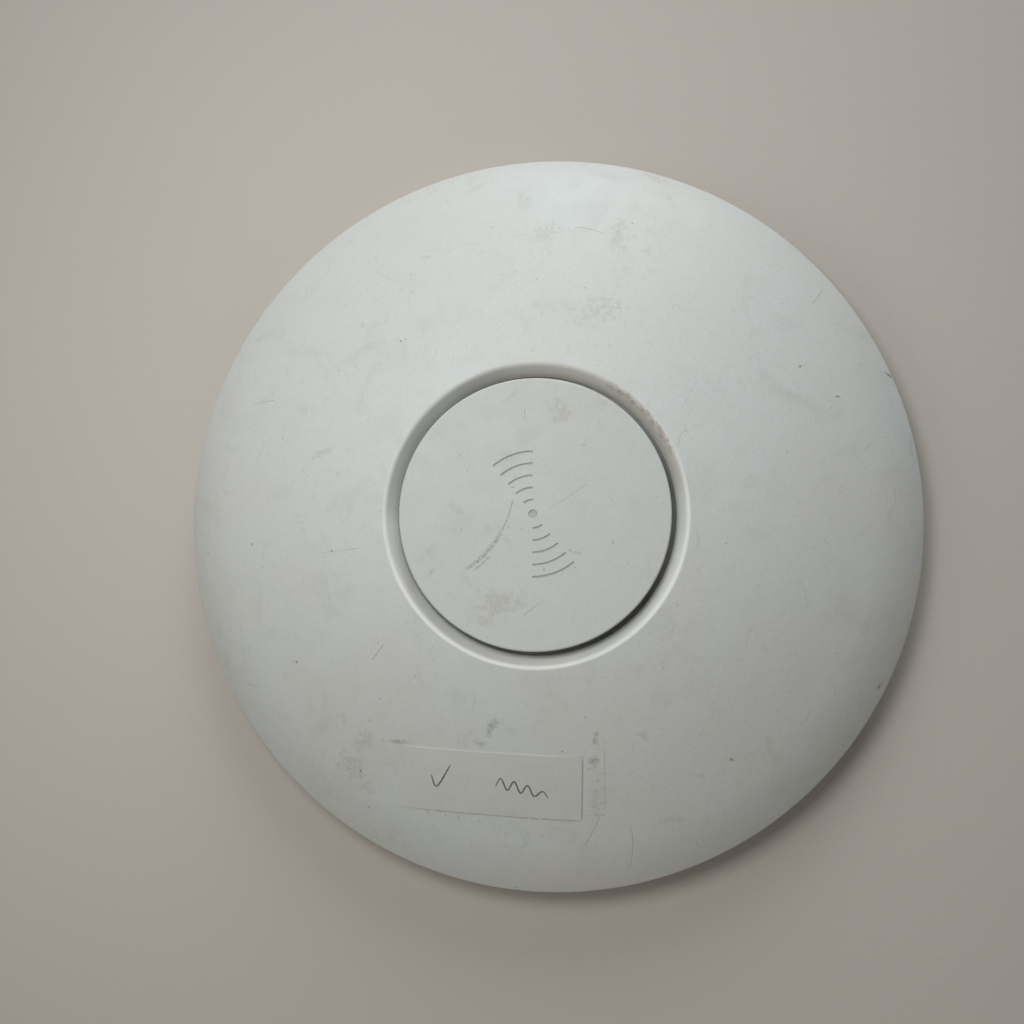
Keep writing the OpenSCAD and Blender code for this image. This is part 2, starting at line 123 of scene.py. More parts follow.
def add_lathe(bm, section, segments, centre=(0, 0), relief=None):
    """Turns a closed section of (radius, height) points about a vertical axis."""
    axis_x, axis_y = centre
    turns = [2 * math.pi * i / segments for i in range(segments)]
    rings = []
    for radius, height in section:
        if radius < 1e-7:
            pole = bm.verts.new((axis_x, axis_y, height + (relief(0, 0, height) if relief else 0)))
            rings.append([pole] * segments)
            continue
        ring = []
        for turn in turns:
            lift = relief(radius, turn, height) if relief else 0
            x = axis_x + radius * math.cos(turn)
            y = axis_y + radius * math.sin(turn)
            ring.append(bm.verts.new((x, y, height + lift)))
        rings.append(ring)
    for lower, upper in zip(rings, rings[1:] + rings[:1]):
        for i in range(segments):
            j = (i + 1) % segments
            corners = list(dict.fromkeys((lower[i], lower[j], upper[j], upper[i])))
            if len(corners) > 2:
                bm.faces.new(corners)


def finish_mesh(name, bm, material, body):
    """Turns a bmesh into a smooth-shaded piece with sharp edges kept, riding on a body."""
    bmesh.ops.recalc_face_normals(bm, faces=bm.faces)
    mesh = bpy.data.meshes.new(name)
    bm.to_mesh(mesh)
    bm.free()
    mesh.shade_smooth()
    mesh.set_sharp_from_angle(angle=math.radians(35))
    mesh.materials.append(material)
    piece = bpy.data.objects.new(name, mesh)
    bpy.context.collection.objects.link(piece)
    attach(piece, body)
    return piece


# ---------------------------------------------------------------- material helpers


class Shade:
    """Builds a material around its Principled shader with short calls.

    Sizes and depths are in metres. Places, lengths and widths of marks on the face are in mm.
    """

    def __init__(self, name):
        self.material = bpy.data.materials.new(name)
        self.material.use_nodes = True
        self.nodes = self.material.node_tree.nodes
        self.links = self.material.node_tree.links
        self.shader = self.nodes["Principled BSDF"]
        self.place = self.nodes.new("ShaderNodeTexCoord").outputs["Object"]

    def put(self, value, socket):
        """Links a socket, or sets a constant."""
        if isinstance(value, bpy.types.NodeSocket):
            self.links.new(value, socket)
        elif isinstance(value, tuple) and len(value) == 3 and socket.type == "RGBA":
            socket.default_value = (*value, 1)
        else:
            socket.default_value = value

    def set(self, **values):
        """Sets the shader's own sockets; an underscore in a name stands for a space."""
        for name, value in values.items():
            self.put(value, self.shader.inputs[name.replace("_", " ")])

    def math(self, operation, a, b=0.0):
        """One sum on single values."""
        node = self.nodes.new("ShaderNodeMath")
        node.operation = operation
        self.put(a, node.inputs[0])
        self.put(b, node.inputs[1])
        return node.outputs[0]

    def vector(self, operation, a, b=(0, 0, 0)):
        """One sum on vectors, as a vector or, for lengths and products, a value."""
        node = self.nodes.new("ShaderNodeVectorMath")
        node.operation = operation
        self.put(a, node.inputs[0])
        self.put(b, node.inputs[1])
        return node.outputs["Value" if operation in ("LENGTH", "DISTANCE", "DOT_PRODUCT") else "Vector"]

    def axis(self, name):
        """One coordinate of the surface point."""
        node = self.nodes.new("ShaderNodeSeparateXYZ")
        self.links.new(self.place, node.inputs[0])
        return node.outputs[name]

    def stretch(self, scale, turn=(0, 0, 0), shift=(0, 0, 0)):
        """The surface point, turned, moved and stretched."""
        node = self.nodes.new("ShaderNodeMapping")
        self.links.new(self.place, node.inputs["Vector"])
        node.inputs["Scale"].default_value = scale
        node.inputs["Rotation"].default_value = turn
        node.inputs["Location"].default_value = shift
        return node.outputs[0]

    def noise(self, size, detail=3, rough=0.5, distort=0.0, at=None):
        """Cloudy noise with features of about the given size."""
        node = self.nodes.new("ShaderNodeTexNoise")
        self.links.new(at or self.place, node.inputs["Vector"])
        node.inputs["Scale"].default_value = 1 / size
        node.inputs["Detail"].default_value = detail
        node.inputs["Roughness"].default_value = rough
        node.inputs["Distortion"].default_value = distort
        return node.outputs["Fac"]

    def noise_vector(self, size):
        """Noise as a vector, for bending other textures."""
        node = self.nodes.new("ShaderNodeTexNoise")
        self.links.new(self.place, node.inputs["Vector"])
        node.inputs["Scale"].default_value = 1 / size
        return node.outputs["Color"]

    def cells(self, size, feature="F1", output="Distance", at=None):
        """Distance or colour of a cell pattern of about the given size."""
        node = self.nodes.new("ShaderNodeTexVoronoi")
        node.feature = feature
        self.links.new(at or self.place, node.inputs["Vector"])
        node.inputs["Scale"].default_value = 1 / size
        return node.outputs[output]

    def ramp(self, value, low, high, start=0.0, end=1.0):
        """Straight ramp from start at low to end at high, held beyond both."""
        node = self.nodes.new("ShaderNodeMapRange")
        for socket, number in zip(node.inputs, (value, low, high, start, end)):
            self.put(number, socket)
        return node.outputs[0]

    def soft(self, value, low, high, start=0.0, end=1.0):
        """The same with eased ends."""
        out = self.ramp(value, low, high, start, end)
        out.node.interpolation_type = "SMOOTHSTEP"
        return out

    def mix(self, share, a, b):
        """Colour a, turning into colour b as the share goes from 0 to 1."""
        node = self.nodes.new("ShaderNodeMix")
        node.data_type = "RGBA"
        self.put(share, node.inputs["Factor"])
        self.put(a, node.inputs["A"])
        self.put(b, node.inputs["B"])
        return node.outputs["Result"]

    def stain(self, colour, mask, amount, tone):
        """The colour with up to the given amount of a tone laid over it, where the mask says."""
        return self.mix(self.math("MULTIPLY", mask, amount), colour, tone)

    def bump(self, height, depth, under=None):
        """Bump from a height field: a height of 1 stands the depth proud."""
        node = self.nodes.new("ShaderNodeBump")
        node.inputs["Strength"].default_value = 1
        node.inputs["Distance"].default_value = depth
        self.links.new(height, node.inputs["Height"])
        if under:
            self.links.new(under, node.inputs["Normal"])
        return node.outputs[0]

    def specks(self, size, share, radius):
        """Sparse round dots: one cell in so many holds one, with an eased edge."""
        near = self.cells(size)
        lot = self.nodes.new("ShaderNodeSeparateColor")
        self.links.new(self.cells(size, output="Color"), lot.inputs[0])
        chosen = self.math("LESS_THAN", lot.outputs[0], share)
        dot = self.soft(near, radius, radius * 0.4)
        return self.math("MULTIPLY", self.math("MULTIPLY", dot, chosen), lot.outputs[1])

    def local(self, x, y, turn=0.0):
        """The surface point from a place on the face, in axes turned there, without its height."""
        rel = self.vector("MULTIPLY", self.vector("SUBTRACT", self.place, (x, y, 0)), (1, 1, 0))
        turned = self.nodes.new("ShaderNodeVectorRotate")
        turned.rotation_type = "Z_AXIS"
        turned.inputs["Angle"].default_value = -turn
        self.links.new(rel, turned.inputs["Vector"])
        return turned.outputs[0]

    def spot(self, x, y, length, width, turn=0.0, ragged=0.35, size=1.5 * MM):
        """Soft ragged patch on the face, in mm, torn at a size in metres: 1 inside, 0 outside."""
        here = self.local(x * MM, y * MM, turn)
        far = self.vector("LENGTH", self.vector("MULTIPLY", here, (1 / (length * MM), 1 / (width * MM), 0)))
        torn = self.math("MULTIPLY", self.math("SUBTRACT", self.noise(size, 4, 0.65), 0.5), 2 * ragged)
        grain = self.ramp(self.noise(0.6 * MM, 3, 0.7), 0.32, 0.6, 0.35, 1)
        return self.math("MULTIPLY", self.soft(self.math("ADD", far, torn), 0.56, 0.08), grain)

    def line(self, start, end, width, worn=0.5):
        """Thin straight line on the face between two points in mm, rubbed away in places."""
        run = Vector(end) - Vector(start)
        middle = (Vector(end) + Vector(start)) * MM / 2
        node = self.nodes.new("ShaderNodeSeparateXYZ")
        self.links.new(self.local(middle.x, middle.y, math.atan2(run.y, run.x)), node.inputs[0])
        across = self.soft(self.math("ABSOLUTE", node.outputs["Y"]), width * MM / 2, width * MM / 6)
        half = run.length * MM / 2
        along = self.soft(self.math("ABSOLUTE", node.outputs["X"]), half, half * 0.7)
        rubbed = self.ramp(self.noise(0.9 * MM, 4, 0.7), 0.3, 0.3 + 0.4 * worn)
        return self.math("MULTIPLY", self.math("MULTIPLY", across, along), rubbed)

    def stroke(self, x, y, radius, span, width):
        """Thin arc on the face: centre, radius and line width in mm, (from, to) in degrees."""
        flat = self.local(x * MM, y * MM)
        off = self.math("ABSOLUTE", self.math("SUBTRACT", self.vector("LENGTH", flat), radius * MM))
        middle = math.radians(sum(span) / 2)
        half = math.radians(abs(span[1] - span[0]) / 2)
        towards = (math.cos(middle), math.sin(middle), 0)
        aim = self.vector("DOT_PRODUCT", self.vector("NORMALIZE", flat), towards)
        inside = self.soft(aim, math.cos(half), math.cos(half * 0.8))
        return self.math("MULTIPLY", self.soft(off, width * MM / 2, width * MM / 6), inside)

    def all_of(self, *masks):
        """The strongest of several masks at each point."""
        out = masks[0]
        for mask in masks[1:]:
            out = self.math("MAXIMUM", out, mask)
        return out


def moulded_grain(shade):
    """Fine spark-eroded texture of moulded plastic, over a very slight waviness."""
    waves = shade.bump(shade.noise(16 * MM, 2), 0.12 * MM)
    return shade.bump(shade.noise(0.45 * MM, 3, 0.65), 0.03 * MM, waves)


def hairlines(shade):
    """Sparse, faint, curving hairline scuffs, broken up into short runs."""
    lines = []
    for turn, size, seed in ((0.2, 26, 1), (1.35, 34, 5), (-0.7, 30, 9)):
        at = shade.stretch((1, 0.35, 1), (0, 0, turn), (seed * 0.1, 0, 0))
        bend = shade.vector("MULTIPLY", shade.noise_vector(9 * MM), (6 * MM, 6 * MM, 0))
        edge = shade.cells(size * 0.5 * MM, "DISTANCE_TO_EDGE", at=shade.vector("ADD", at, bend))
        line = shade.soft(edge, 0.014, 0.003)
        runs = shade.noise(8 * MM, 2, 0.5, 0, shade.stretch((1, 1, 1), (0, 0, 0), (0, seed * 0.1, 0)))
        lines.append(shade.math("MULTIPLY", line, shade.soft(runs, 0.6, 0.72)))
    return shade.all_of(*lines)


def aged_white(name, tone=(0.62, 0.645, 0.622), marks=None, dirt=1.0):
    """Off-white moulded plastic that has been handled: mottled, speckled and lightly scuffed."""
    shade = Shade(name)
    grime = tuple(t * s for t, s in zip(tone, (0.74, 0.71, 0.67)))
    warm = tuple(t * s for t, s in zip(tone, (1.0, 0.975, 0.965)))
    cool = tuple(t * s for t, s in zip(tone, (0.985, 1.0, 1.01)))
    colour = shade.mix(shade.soft(shade.noise(40 * MM, 3, 0.55), 0.38, 0.62), cool, warm)
    clouds = shade.soft(shade.noise(12 * MM, 5, 0.66, 0.8), 0.5, 0.8, 0, 0.42 * dirt)
    colour = shade.mix(clouds, colour, grime)
    smears = shade.soft(shade.noise(2.6 * MM, 5, 0.7, 1.2), 0.54, 0.82, 0, 0.5 * dirt)
    colour = shade.mix(smears, colour, grime)
    dust = shade.ramp(shade.noise(0.6 * MM, 4, 0.85), 0.38, 0.68, 0, 0.38)
    colour = shade.mix(dust, colour, grime)
    fine = shade.math("MULTIPLY", shade.specks(3.1 * MM, 0.34, 0.11), 0.75)
    coarse = shade.specks(9.5 * MM, 0.42, 0.05)
    dots = shade.all_of(fine, coarse)
    colour = shade.stain(colour, dots, 0.8 * dirt, (0.16, 0.155, 0.13))
    colour = shade.stain(colour, hairlines(shade), 0.2 * dirt, (0.28, 0.275, 0.25))
    # The marks can also paint light and shade, as the front cover's do.
    if marks:
        colour = marks(shade, colour)
    rough = shade.ramp(shade.noise(6 * MM, 4, 0.6), 0.3, 0.7, 0.46, 0.6)
    shade.set(Base_Color=colour, Roughness=rough, Normal=moulded_grain(shade))
    shade.set(Specular_IOR_Level=0.42)
    return shade.material


# ---------------------------------------------------------------- materials


def cover_marks_and_painted_light(shade, colour):
    """Marks of use on the front cover: rubbed smudges, nicks, a tape ghost and a dirt streak in the groove,
    with painted light and shade on the groove's wall.
    """
    soft_grey = shade.all_of(
        shade.spot(-49, -66, 13, 8, 2.2, 1.2),
        shade.spot(-46, -59, 8, 5, 0.9, 1.2),
        shade.spot(2.2, 74.6, 9, 6, 0.4, 1.3, 1 * MM),
        shade.spot(21.5, 73.5, 9, 5, 1.5, 1.3),
        shade.spot(32, 92.8, 9, 3, -0.35, 1.0),
        shade.spot(-56, 16.5, 10, 2.4, 0.35, 0.9),
        shade.spot(16, 52, 12, 6, 0.2, 1.3),
        shade.spot(34, -77, 9, 2, 0.1, 0.9),
        shade.spot(14.6, -72, 9, 3, 1.5, 1.2),
    )
    colour = shade.stain(colour, soft_grey, 0.21, (0.2, 0.2, 0.17))
    smudges = shade.all_of(
        shade.spot(-11, -53, 5.4, 3, 0.95, 0.8),
        shade.spot(-14, -57.5, 3.6, 1.8, -0.6, 0.9),
        shade.spot(14.8, -55.6, 4, 1.9, 1.45, 0.9),
        shade.spot(14.5, -61.5, 3.8, 2.6, 1.3, 0.9),
        shade.spot(-36, -58, 8, 1.2, 0, 0.8),
    )
    colour = shade.stain(colour, smudges, 0.5, (0.2, 0.2, 0.17))
    nicks = shade.all_of(
        shade.spot(91.5, 37.3, 3.2, 1.1, -0.5, 0.3),
        shade.spot(48.6, -61.2, 1.5, 1.2, 0, 0.3),
        shade.spot(87.3, -43.6, 2.6, 0.7, 1.1, 0.5),
        shade.spot(-52.6, -9, 0.9, 0.8, 0, 0.3),
        shade.spot(76.3, 30.1, 1.7, 0.6, 0.1, 0.4),
        shade.spot(-77, -7, 0.9, 0.9, 0, 0.3),
        shade.spot(25, 77, 0.9, 0.8, 0, 0.3),
    )
    colour = shade.stain(colour, nicks, 0.8, (0.06, 0.06, 0.05))
    # Scuffs, the outline left by older tape, and dark lines along the tape's right and lower edges.
    scratches_and_edge_lines = shade.all_of(
        shade.line((-57.9, -9.7), (-43.5, -8.2), 0.3, 0.8),
        shade.line((-79, 31.6), (-71, 32), 0.5, 0.9),
        shade.line((-42, -37), (-38.4, -32.6), 0.45, 0.6),
        shade.line((17.1, -76), (17.1, -54.5), 0.4, 0.9),
        shade.line((12.4, -75.8), (17.4, -75.8), 0.5, 0.7),
        shade.line((11.75, -60), (11.2, -77.8), 0.6, 0.2),
        shade.line((-37, -75.95), (11.2, -77.45), 0.55, 0.7),
        shade.line((-8, -76.9), (11.2, -77.5), 0.8, 0.8),
        shade.line((36, 25), (41, 34), 0.25, 0.9),
        shade.stroke(51, 73, 27, (-42, -28), 0.35),
        shade.stroke(-25, -62, 43, (-32, -18), 0.3),
        shade.stroke(-2, -84, 26, (-20, 14), 0.28),
        shade.stroke(9, 58, 18, (60, 88), 0.3),
    )
    colour = shade.stain(colour, scratches_and_edge_lines, 0.42, (0.17, 0.17, 0.15))
    radius = shade.vector("LENGTH", shade.local(0, 0))
    groove = shade.soft(radius, 38.6 * MM, 37.9 * MM)
    # Painted light: the groove's wall is painted lighter all round.
    colour = shade.stain(colour, groove, 0.85, (0.76, 0.775, 0.755))
    # Painted light: the wall's bottom, next to the cap, where shade falls between wall and cap, is painted
    # lighter still.
    bottom_painted_light = shade.math("MULTIPLY", groove, shade.soft(radius, 37.5 * MM, 35.4 * MM))
    colour = shade.stain(colour, bottom_painted_light, 0.8, (0.88, 0.89, 0.86))
    # Painted shade: the wall's upper side is painted darker and warmer, as shade lit by warm bounced light.
    painted_warm_shade_side = shade.math("MULTIPLY", groove, shade.stroke(0, 0, 36, (5, 130), 7))
    colour = shade.stain(colour, painted_warm_shade_side, 0.5, (0.6, 0.54, 0.48))
    # Painted shade: the wall's upper left is painted a darker grey.
    painted_shade_upper_left = shade.math("MULTIPLY", groove, shade.stroke(0, 0, 36, (95, 185), 7))
    colour = shade.stain(colour, painted_shade_upper_left, 0.42, (0.52, 0.53, 0.51))
    # Painted light: the wall's lower left and bottom are painted lighter.
    painted_light_low_side = shade.math("MULTIPLY", groove, shade.stroke(0, 0, 36, (-165, -68), 7))
    colour = shade.stain(colour, painted_light_low_side, 0.4, (0.92, 0.9, 0.86))
    broken = shade.soft(shade.noise(1.1 * MM, 5, 0.75), 0.42, 0.66)
    streak = shade.math("MULTIPLY", shade.stroke(0, 0, 37.3, (22, 62), 2.2), broken)
    return shade.stain(colour, streak, 0.7, (0.3, 0.23, 0.16))


def cap_marks(shade, colour):
    """Marks of use on the cap: a rubbed brown curve, short dashes, a stain and the engraving painted
    darker.
    """
    stains = shade.all_of(
        shade.spot(-8.5, -23, 13, 10, 0.4, 1.1, 3 * MM),
        shade.spot(7, 25, 9, 5, -0.4, 1.1, 3 * MM),
    )
    colour = shade.stain(colour, stains, 0.5, (0.4, 0.365, 0.29))
    broken = shade.soft(shade.noise(0.6 * MM, 5, 0.8, 0.6), 0.38, 0.62)
    curve = shade.all_of(
        shade.stroke(-30.6, 8.3, 26, (-30, -9), 0.6),
        shade.stroke(-30.9, 8.5, 26.4, (-58, -28), 1.5),
        shade.stroke(-30.4, 8.5, 27.3, (-56, -44), 0.8),
    )
    rubbed = shade.math("MULTIPLY", curve, broken)
    colour = shade.stain(colour, rubbed, 0.62, (0.17, 0.16, 0.13))
    dashes = shade.all_of(
        shade.spot(11, -9.6, 2.8, 0.8, -0.1, 0.5),
        shade.spot(9.2, -9, 1, 0.6, 0, 0.5),
        shade.spot(19.6, -7, 1.1, 1, 0, 0.4),
        shade.spot(23.2, -12.1, 0.8, 0.8, 0, 0.4),
        shade.spot(-16.5, 11.1, 0.8, 0.7, 0, 0.4),
        shade.spot(-14.9, 10.6, 0.5, 0.5, 0, 0.4),
        shade.spot(12.6, 16.9, 1.1, 0.6, 0.1, 0.4),
        shade.spot(-2, -24.6, 1.2, 1, 0.6, 0.5),
        shade.spot(-5, 6.7, 1.6, 0.8, 0.2, 0.7),
        shade.spot(-25, -14, 4, 1.4, 0.9, 0.9),
        shade.line((3, 0.5), (14.1, 7.7), 0.3, 1),
        shade.line((-2, 23.4), (-2, 26.2), 0.3, 0.3),
        shade.line((-2, -24.6), (2.9, -21), 0.3, 0.6),
    )
    colour = shade.stain(colour, dashes, 0.5, (0.17, 0.165, 0.15))
    # The engraved grooves are painted darker.
    sunk = shade.soft(shade.axis("Z"), FACE_Z - 0.05 * MM, FACE_Z - 0.2 * MM)
    inner = shade.soft(shade.vector("LENGTH", shade.local(0, 0)), 18 * MM, 17 * MM)
    engraved = shade.math("MULTIPLY", sunk, inner)
    return shade.stain(colour, engraved, 0.45, (0.3, 0.3, 0.27))


def paper_tape():
    """Creped masking tape, aged a little warmer than the cover, with a fibrous surface."""
    shade = Shade("masking_tape")
    tone = shade.mix(shade.noise(9 * MM, 3), (0.615, 0.628, 0.592), (0.575, 0.582, 0.54))
    crepe = shade.noise(0.9 * MM, 4, 0.6, 0.4, shade.stretch((2.6, 0.5, 1), (0, 0, -TAPE_ANGLE)))
    tone = shade.mix(shade.soft(crepe, 0.45, 0.8, 0, 0.3), tone, (0.42, 0.41, 0.36))
    tone = shade.stain(tone, shade.specks(2.2 * MM, 0.1, 0.09), 0.6, (0.2, 0.18, 0.15))
    # Painted highlight: a lighter line along the tape's top edge.
    edge = shade.line((-36.4, -58.85), (11.5, -60.4), 0.55, 0.15)
    tone = shade.stain(tone, edge, 0.35, (0.86, 0.87, 0.84))
    shade.set(Base_Color=tone, Roughness=0.82, Normal=shade.bump(crepe, 0.03 * MM), Specular_IOR_Level=0.25)
    return shade.material


def pen_ink():
    """Faded pen line that skips over the paper's grain."""
    shade = Shade("pen_ink")
    worn = shade.soft(shade.noise(0.5 * MM, 3, 0.6), 0.4, 0.75)
    shade.set(Base_Color=shade.mix(worn, (0.1, 0.105, 0.1), (0.26, 0.26, 0.24)), Roughness=0.7)
    return shade.material


def plain_moulding(name, tone, grime, rough=(0.42, 0.55)):
    """Moulded plastic without marks of use: cloudy tone, a little dust and a fine grain."""
    shade = Shade(name)
    colour = shade.mix(shade.soft(shade.noise(30 * MM, 3), 0.35, 0.7), tone, tuple(t * 0.95 for t in tone))
    colour = shade.mix(shade.soft(shade.noise(5 * MM, 5, 0.65), 0.55, 0.85, 0, 0.4), colour, grime)
    rounded = shade.nodes.new("ShaderNodeBevel")
    rounded.inputs["Radius"].default_value = 0.25 * MM
    grainy = shade.bump(shade.noise(0.35 * MM, 3, 0.65), 0.02 * MM, rounded.outputs[0])
    dull = shade.ramp(shade.noise(7 * MM, 4), 0.3, 0.7, *rough)
    shade.set(Base_Color=colour, Roughness=dull, Normal=grainy)
    return shade.material


def sheet_metal(name, tone, streak, rough=(0.22, 0.42)):
    """Bare or plated metal with rolling streaks, dull patches and softened edges."""
    shade = Shade(name)
    streaks = shade.noise(1.2 * MM, 4, 0.6, 0, shade.stretch((12, 1, 1)))
    colour = shade.mix(streaks, tone, streak)
    dull = shade.noise(4 * MM, 4, 0.6)
    rounded = shade.nodes.new("ShaderNodeBevel")
    rounded.inputs["Radius"].default_value = 0.1 * MM
    shade.set(Base_Color=colour, Metallic=1.0, Roughness=shade.ramp(dull, 0.3, 0.7, *rough))
    shade.set(Normal=shade.bump(streaks, 0.004 * MM, rounded.outputs[0]))
    return shade.material


def circuit_board():
    """Green solder mask over copper: tracks on a square grid, vias and the laminate's weave."""
    shade = Shade("board")
    patches = shade.cells(5 * MM, output="Color")
    lanes = shade.nodes.new("ShaderNodeTexBrick")
    shade.links.new(shade.place, lanes.inputs["Vector"])
    lanes.inputs["Scale"].default_value = 1 / (2.2 * MM)
    lanes.inputs["Mortar Size"].default_value = 0.06
    lanes.inputs["Brick Width"].default_value = 2.4
    copper = shade.math("MULTIPLY", lanes.outputs["Fac"], shade.soft(shade.noise(9 * MM, 2), 0.42, 0.5))
    colour = shade.mix(shade.noise(20 * MM, 2), (0.012, 0.10, 0.035), (0.016, 0.13, 0.05))
    colour = shade.mix(copper, colour, (0.035, 0.22, 0.08))
    vias = shade.specks(3.2 * MM, 0.5, 0.09)
    colour = shade.mix(vias, colour, (0.55, 0.5, 0.36))
    weave = shade.noise(0.5 * MM, 2, 0.5, 0, shade.stretch((1, 2, 1)))
    raised = shade.math("ADD", copper, shade.math("MULTIPLY", weave, 0.4))
    colour = shade.mix(0.06, colour, patches)
    shade.set(Base_Color=colour, Roughness=0.3, Normal=shade.bump(raised, 0.03 * MM))
    return shade.material


def mineral(name, tone, pale, rough):
    """Fine-grained body: moulded resin, ferrite, ceramic, silicone or paper."""
    shade = Shade(name)
    grain = shade.noise(0.6 * MM, 4, 0.65)
    colour = shade.mix(shade.soft(grain, 0.4, 0.75), tone, pale)
    colour = shade.mix(shade.soft(shade.noise(8 * MM, 3), 0.5, 0.8, 0, 0.3), colour, pale)
    rounded = shade.nodes.new("ShaderNodeBevel")
    rounded.inputs["Radius"].default_value = 0.12 * MM
    shade.set(Base_Color=colour, Roughness=shade.ramp(grain, 0.3, 0.7, rough, rough + 0.12))
    shade.set(Normal=shade.bump(grain, 0.02 * MM, rounded.outputs[0]))
    return shade.material


def frosted_guide():
    """Frosted acrylic, dim because the status light is off."""
    shade = Shade("light_guide")
    cloud = shade.noise(2 * MM, 4, 0.6)
    shade.set(Base_Color=shade.mix(cloud, (0.42, 0.43, 0.41), (0.34, 0.35, 0.33)))
    shade.set(Roughness=shade.ramp(cloud, 0.3, 0.7, 0.38, 0.55), Transmission_Weight=0.35, IOR=1.49)
    shade.set(Normal=shade.bump(shade.noise(0.3 * MM, 3), 0.02 * MM))
    return shade.material


MATERIALS = {
    "cover": aged_white("cover_plastic", marks=cover_marks_and_painted_light),
    "cap": aged_white("cap_plastic", (0.555, 0.58, 0.558), cap_marks, 0.8),
    "tape": paper_tape(),
    "ink": pen_ink(),
    "back_plastic": plain_moulding("back_plastic", (0.6, 0.62, 0.6), (0.46, 0.44, 0.4)),
    "bracket_plastic": plain_moulding("bracket_plastic", (0.5, 0.51, 0.5), (0.4, 0.39, 0.36), (0.36, 0.5)),
    "light_guide": frosted_guide(),
    "board": circuit_board(),
    "black_plastic": mineral("black_plastic", (0.014, 0.014, 0.016), (0.032, 0.032, 0.034), 0.42),
    "tin": sheet_metal("tin", (0.66, 0.66, 0.63), (0.52, 0.52, 0.5)),
    "gold_plate": sheet_metal("gold_plate", (0.9, 0.66, 0.28), (0.76, 0.54, 0.22), (0.15, 0.3)),
    "switch_plunger": mineral("switch_plunger", (0.62, 0.57, 0.44), (0.7, 0.66, 0.54), 0.35),
    "led_resin": mineral("led_resin", (0.72, 0.7, 0.4), (0.8, 0.78, 0.6), 0.2),
    "aluminium_sheet": sheet_metal("aluminium_sheet", (0.72, 0.73, 0.74), (0.6, 0.61, 0.62), (0.3, 0.5)),
    "thermal_pad": mineral("thermal_pad", (0.6, 0.36, 0.42), (0.68, 0.46, 0.5), 0.8),
    "ferrite": mineral("ferrite", (0.05, 0.05, 0.055), (0.1, 0.1, 0.1), 0.55),
    "aluminium_can": sheet_metal("aluminium_can", (0.78, 0.79, 0.8), (0.66, 0.67, 0.68), (0.18, 0.3)),
    "chip_ceramic": mineral("chip_ceramic", (0.34, 0.24, 0.14), (0.5, 0.42, 0.32), 0.4),
    "screw_steel": sheet_metal("screw_steel", (0.55, 0.55, 0.53), (0.42, 0.43, 0.43), (0.28, 0.45)),
    "label_paper": mineral("label_paper", (0.74, 0.74, 0.72), (0.66, 0.66, 0.64), 0.6),
}

# ---------------------------------------------------------------- front cover


def lip_circle():
    """Centre of the rounded lip, which touches the groove's wall and the dome from inside."""
    up_wall = direction(GROOVE_TILT)
    into_wall = Vector((up_wall.y, -up_wall.x))
    base = Vector((GROOVE_R, GROOVE_Z)) - Dome.centre + LIP_ROUND * into_wall
    along = base.dot(up_wall)
    run = -along + math.sqrt(along**2 - base.dot(base) + (DOME_R - LIP_ROUND) ** 2)
    return Dome.centre + base + run * up_wall


def cover_section():
    """Closed section of the cover, from the groove's sleeve over the dome and back inside."""
    lip = lip_circle()
    lip_angle = math.asin(lip.x / (DOME_R - LIP_ROUND))
    inner_rim = BODY_R - WALL
    inner_shoulder = SHOULDER_R - WALL
    inner_rim_angle = math.asin((inner_rim - Dome.shoulder_centre.x) / inner_shoulder)
    sleeve_r = GROOVE_R + WALL
    inner_lip_angle = math.asin((lip.x + 3 * MM) / (DOME_R - WALL))
    chamfer = 0.2 * MM
    points = [Vector((GROOVE_R, z)) for z in spaced(GUIDE_TOP, GROOVE_Z, 0.4 * MM)]
    points += arc(lip, LIP_ROUND, GROOVE_TILT - math.pi / 2, lip_angle, 20)
    points += arc(Dome.centre, DOME_R, lip_angle, Dome.shoulder_angle, 48)[1:]
    points += arc(Dome.shoulder_centre, SHOULDER_R, Dome.shoulder_angle, Dome.rim_angle, 28)[1:]
    points += arc(Dome.rim_centre, RIM_EDGE_R, Dome.rim_angle, math.pi, 20)[1:]
    points += [Vector((inner_rim + chamfer, SEAM_Z)), Vector((inner_rim, SEAM_Z + chamfer))]
    points += arc(Dome.shoulder_centre, inner_shoulder, inner_rim_angle, Dome.shoulder_angle, 24)
    points += arc(Dome.centre, DOME_R - WALL, Dome.shoulder_angle, inner_lip_angle, 36)[1:]
    points += [Vector((sleeve_r, GROOVE_Z + 0.6 * MM)), Vector((sleeve_r, GUIDE_TOP))]
    return points


def front_cover():
    """Domed cover with its four screw bosses."""
    bm = bmesh.new()
    add_lathe(bm, cover_section(), 480)
    circle_r, boss_r, bore_r = 76 * MM, 3.6 * MM, 1.55 * MM
    boss_foot, boss_top = 13 * MM, 21.6 * MM
    tube = [(bore_r, boss_foot), (boss_r, boss_foot), (boss_r, boss_top), (bore_r, boss_top)]
    for turn in (45, 135, 225, 315):
        angle = math.radians(turn)
        add_lathe(bm, tube, 48, (circle_r * math.cos(angle), circle_r * math.sin(angle)))
    piece = finish_mesh("front_cover_shell", bm, MATERIALS["cover"], "unit")
    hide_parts("front_cover")


# ---------------------------------------------------------------- centre cap


def mark_relief(radius, turn, height):
    """Depth of the engraved mark: a dot and two fans of arcs."""
    margin = 0.02 * MM
    if height < FACE_Z - 1e-6:
        return 0
    if radius < MARK_DOT - margin:
        return -MARK_DEPTH
    off = abs((turn - MARK_ANGLE + math.pi / 2) % math.pi - math.pi / 2)
    in_line = any(abs(radius - r) < MARK_HALF_WIDTH - margin for r in MARK_RADII)
    return -MARK_DEPTH if in_line and off < MARK_HALF_SPAN else 0


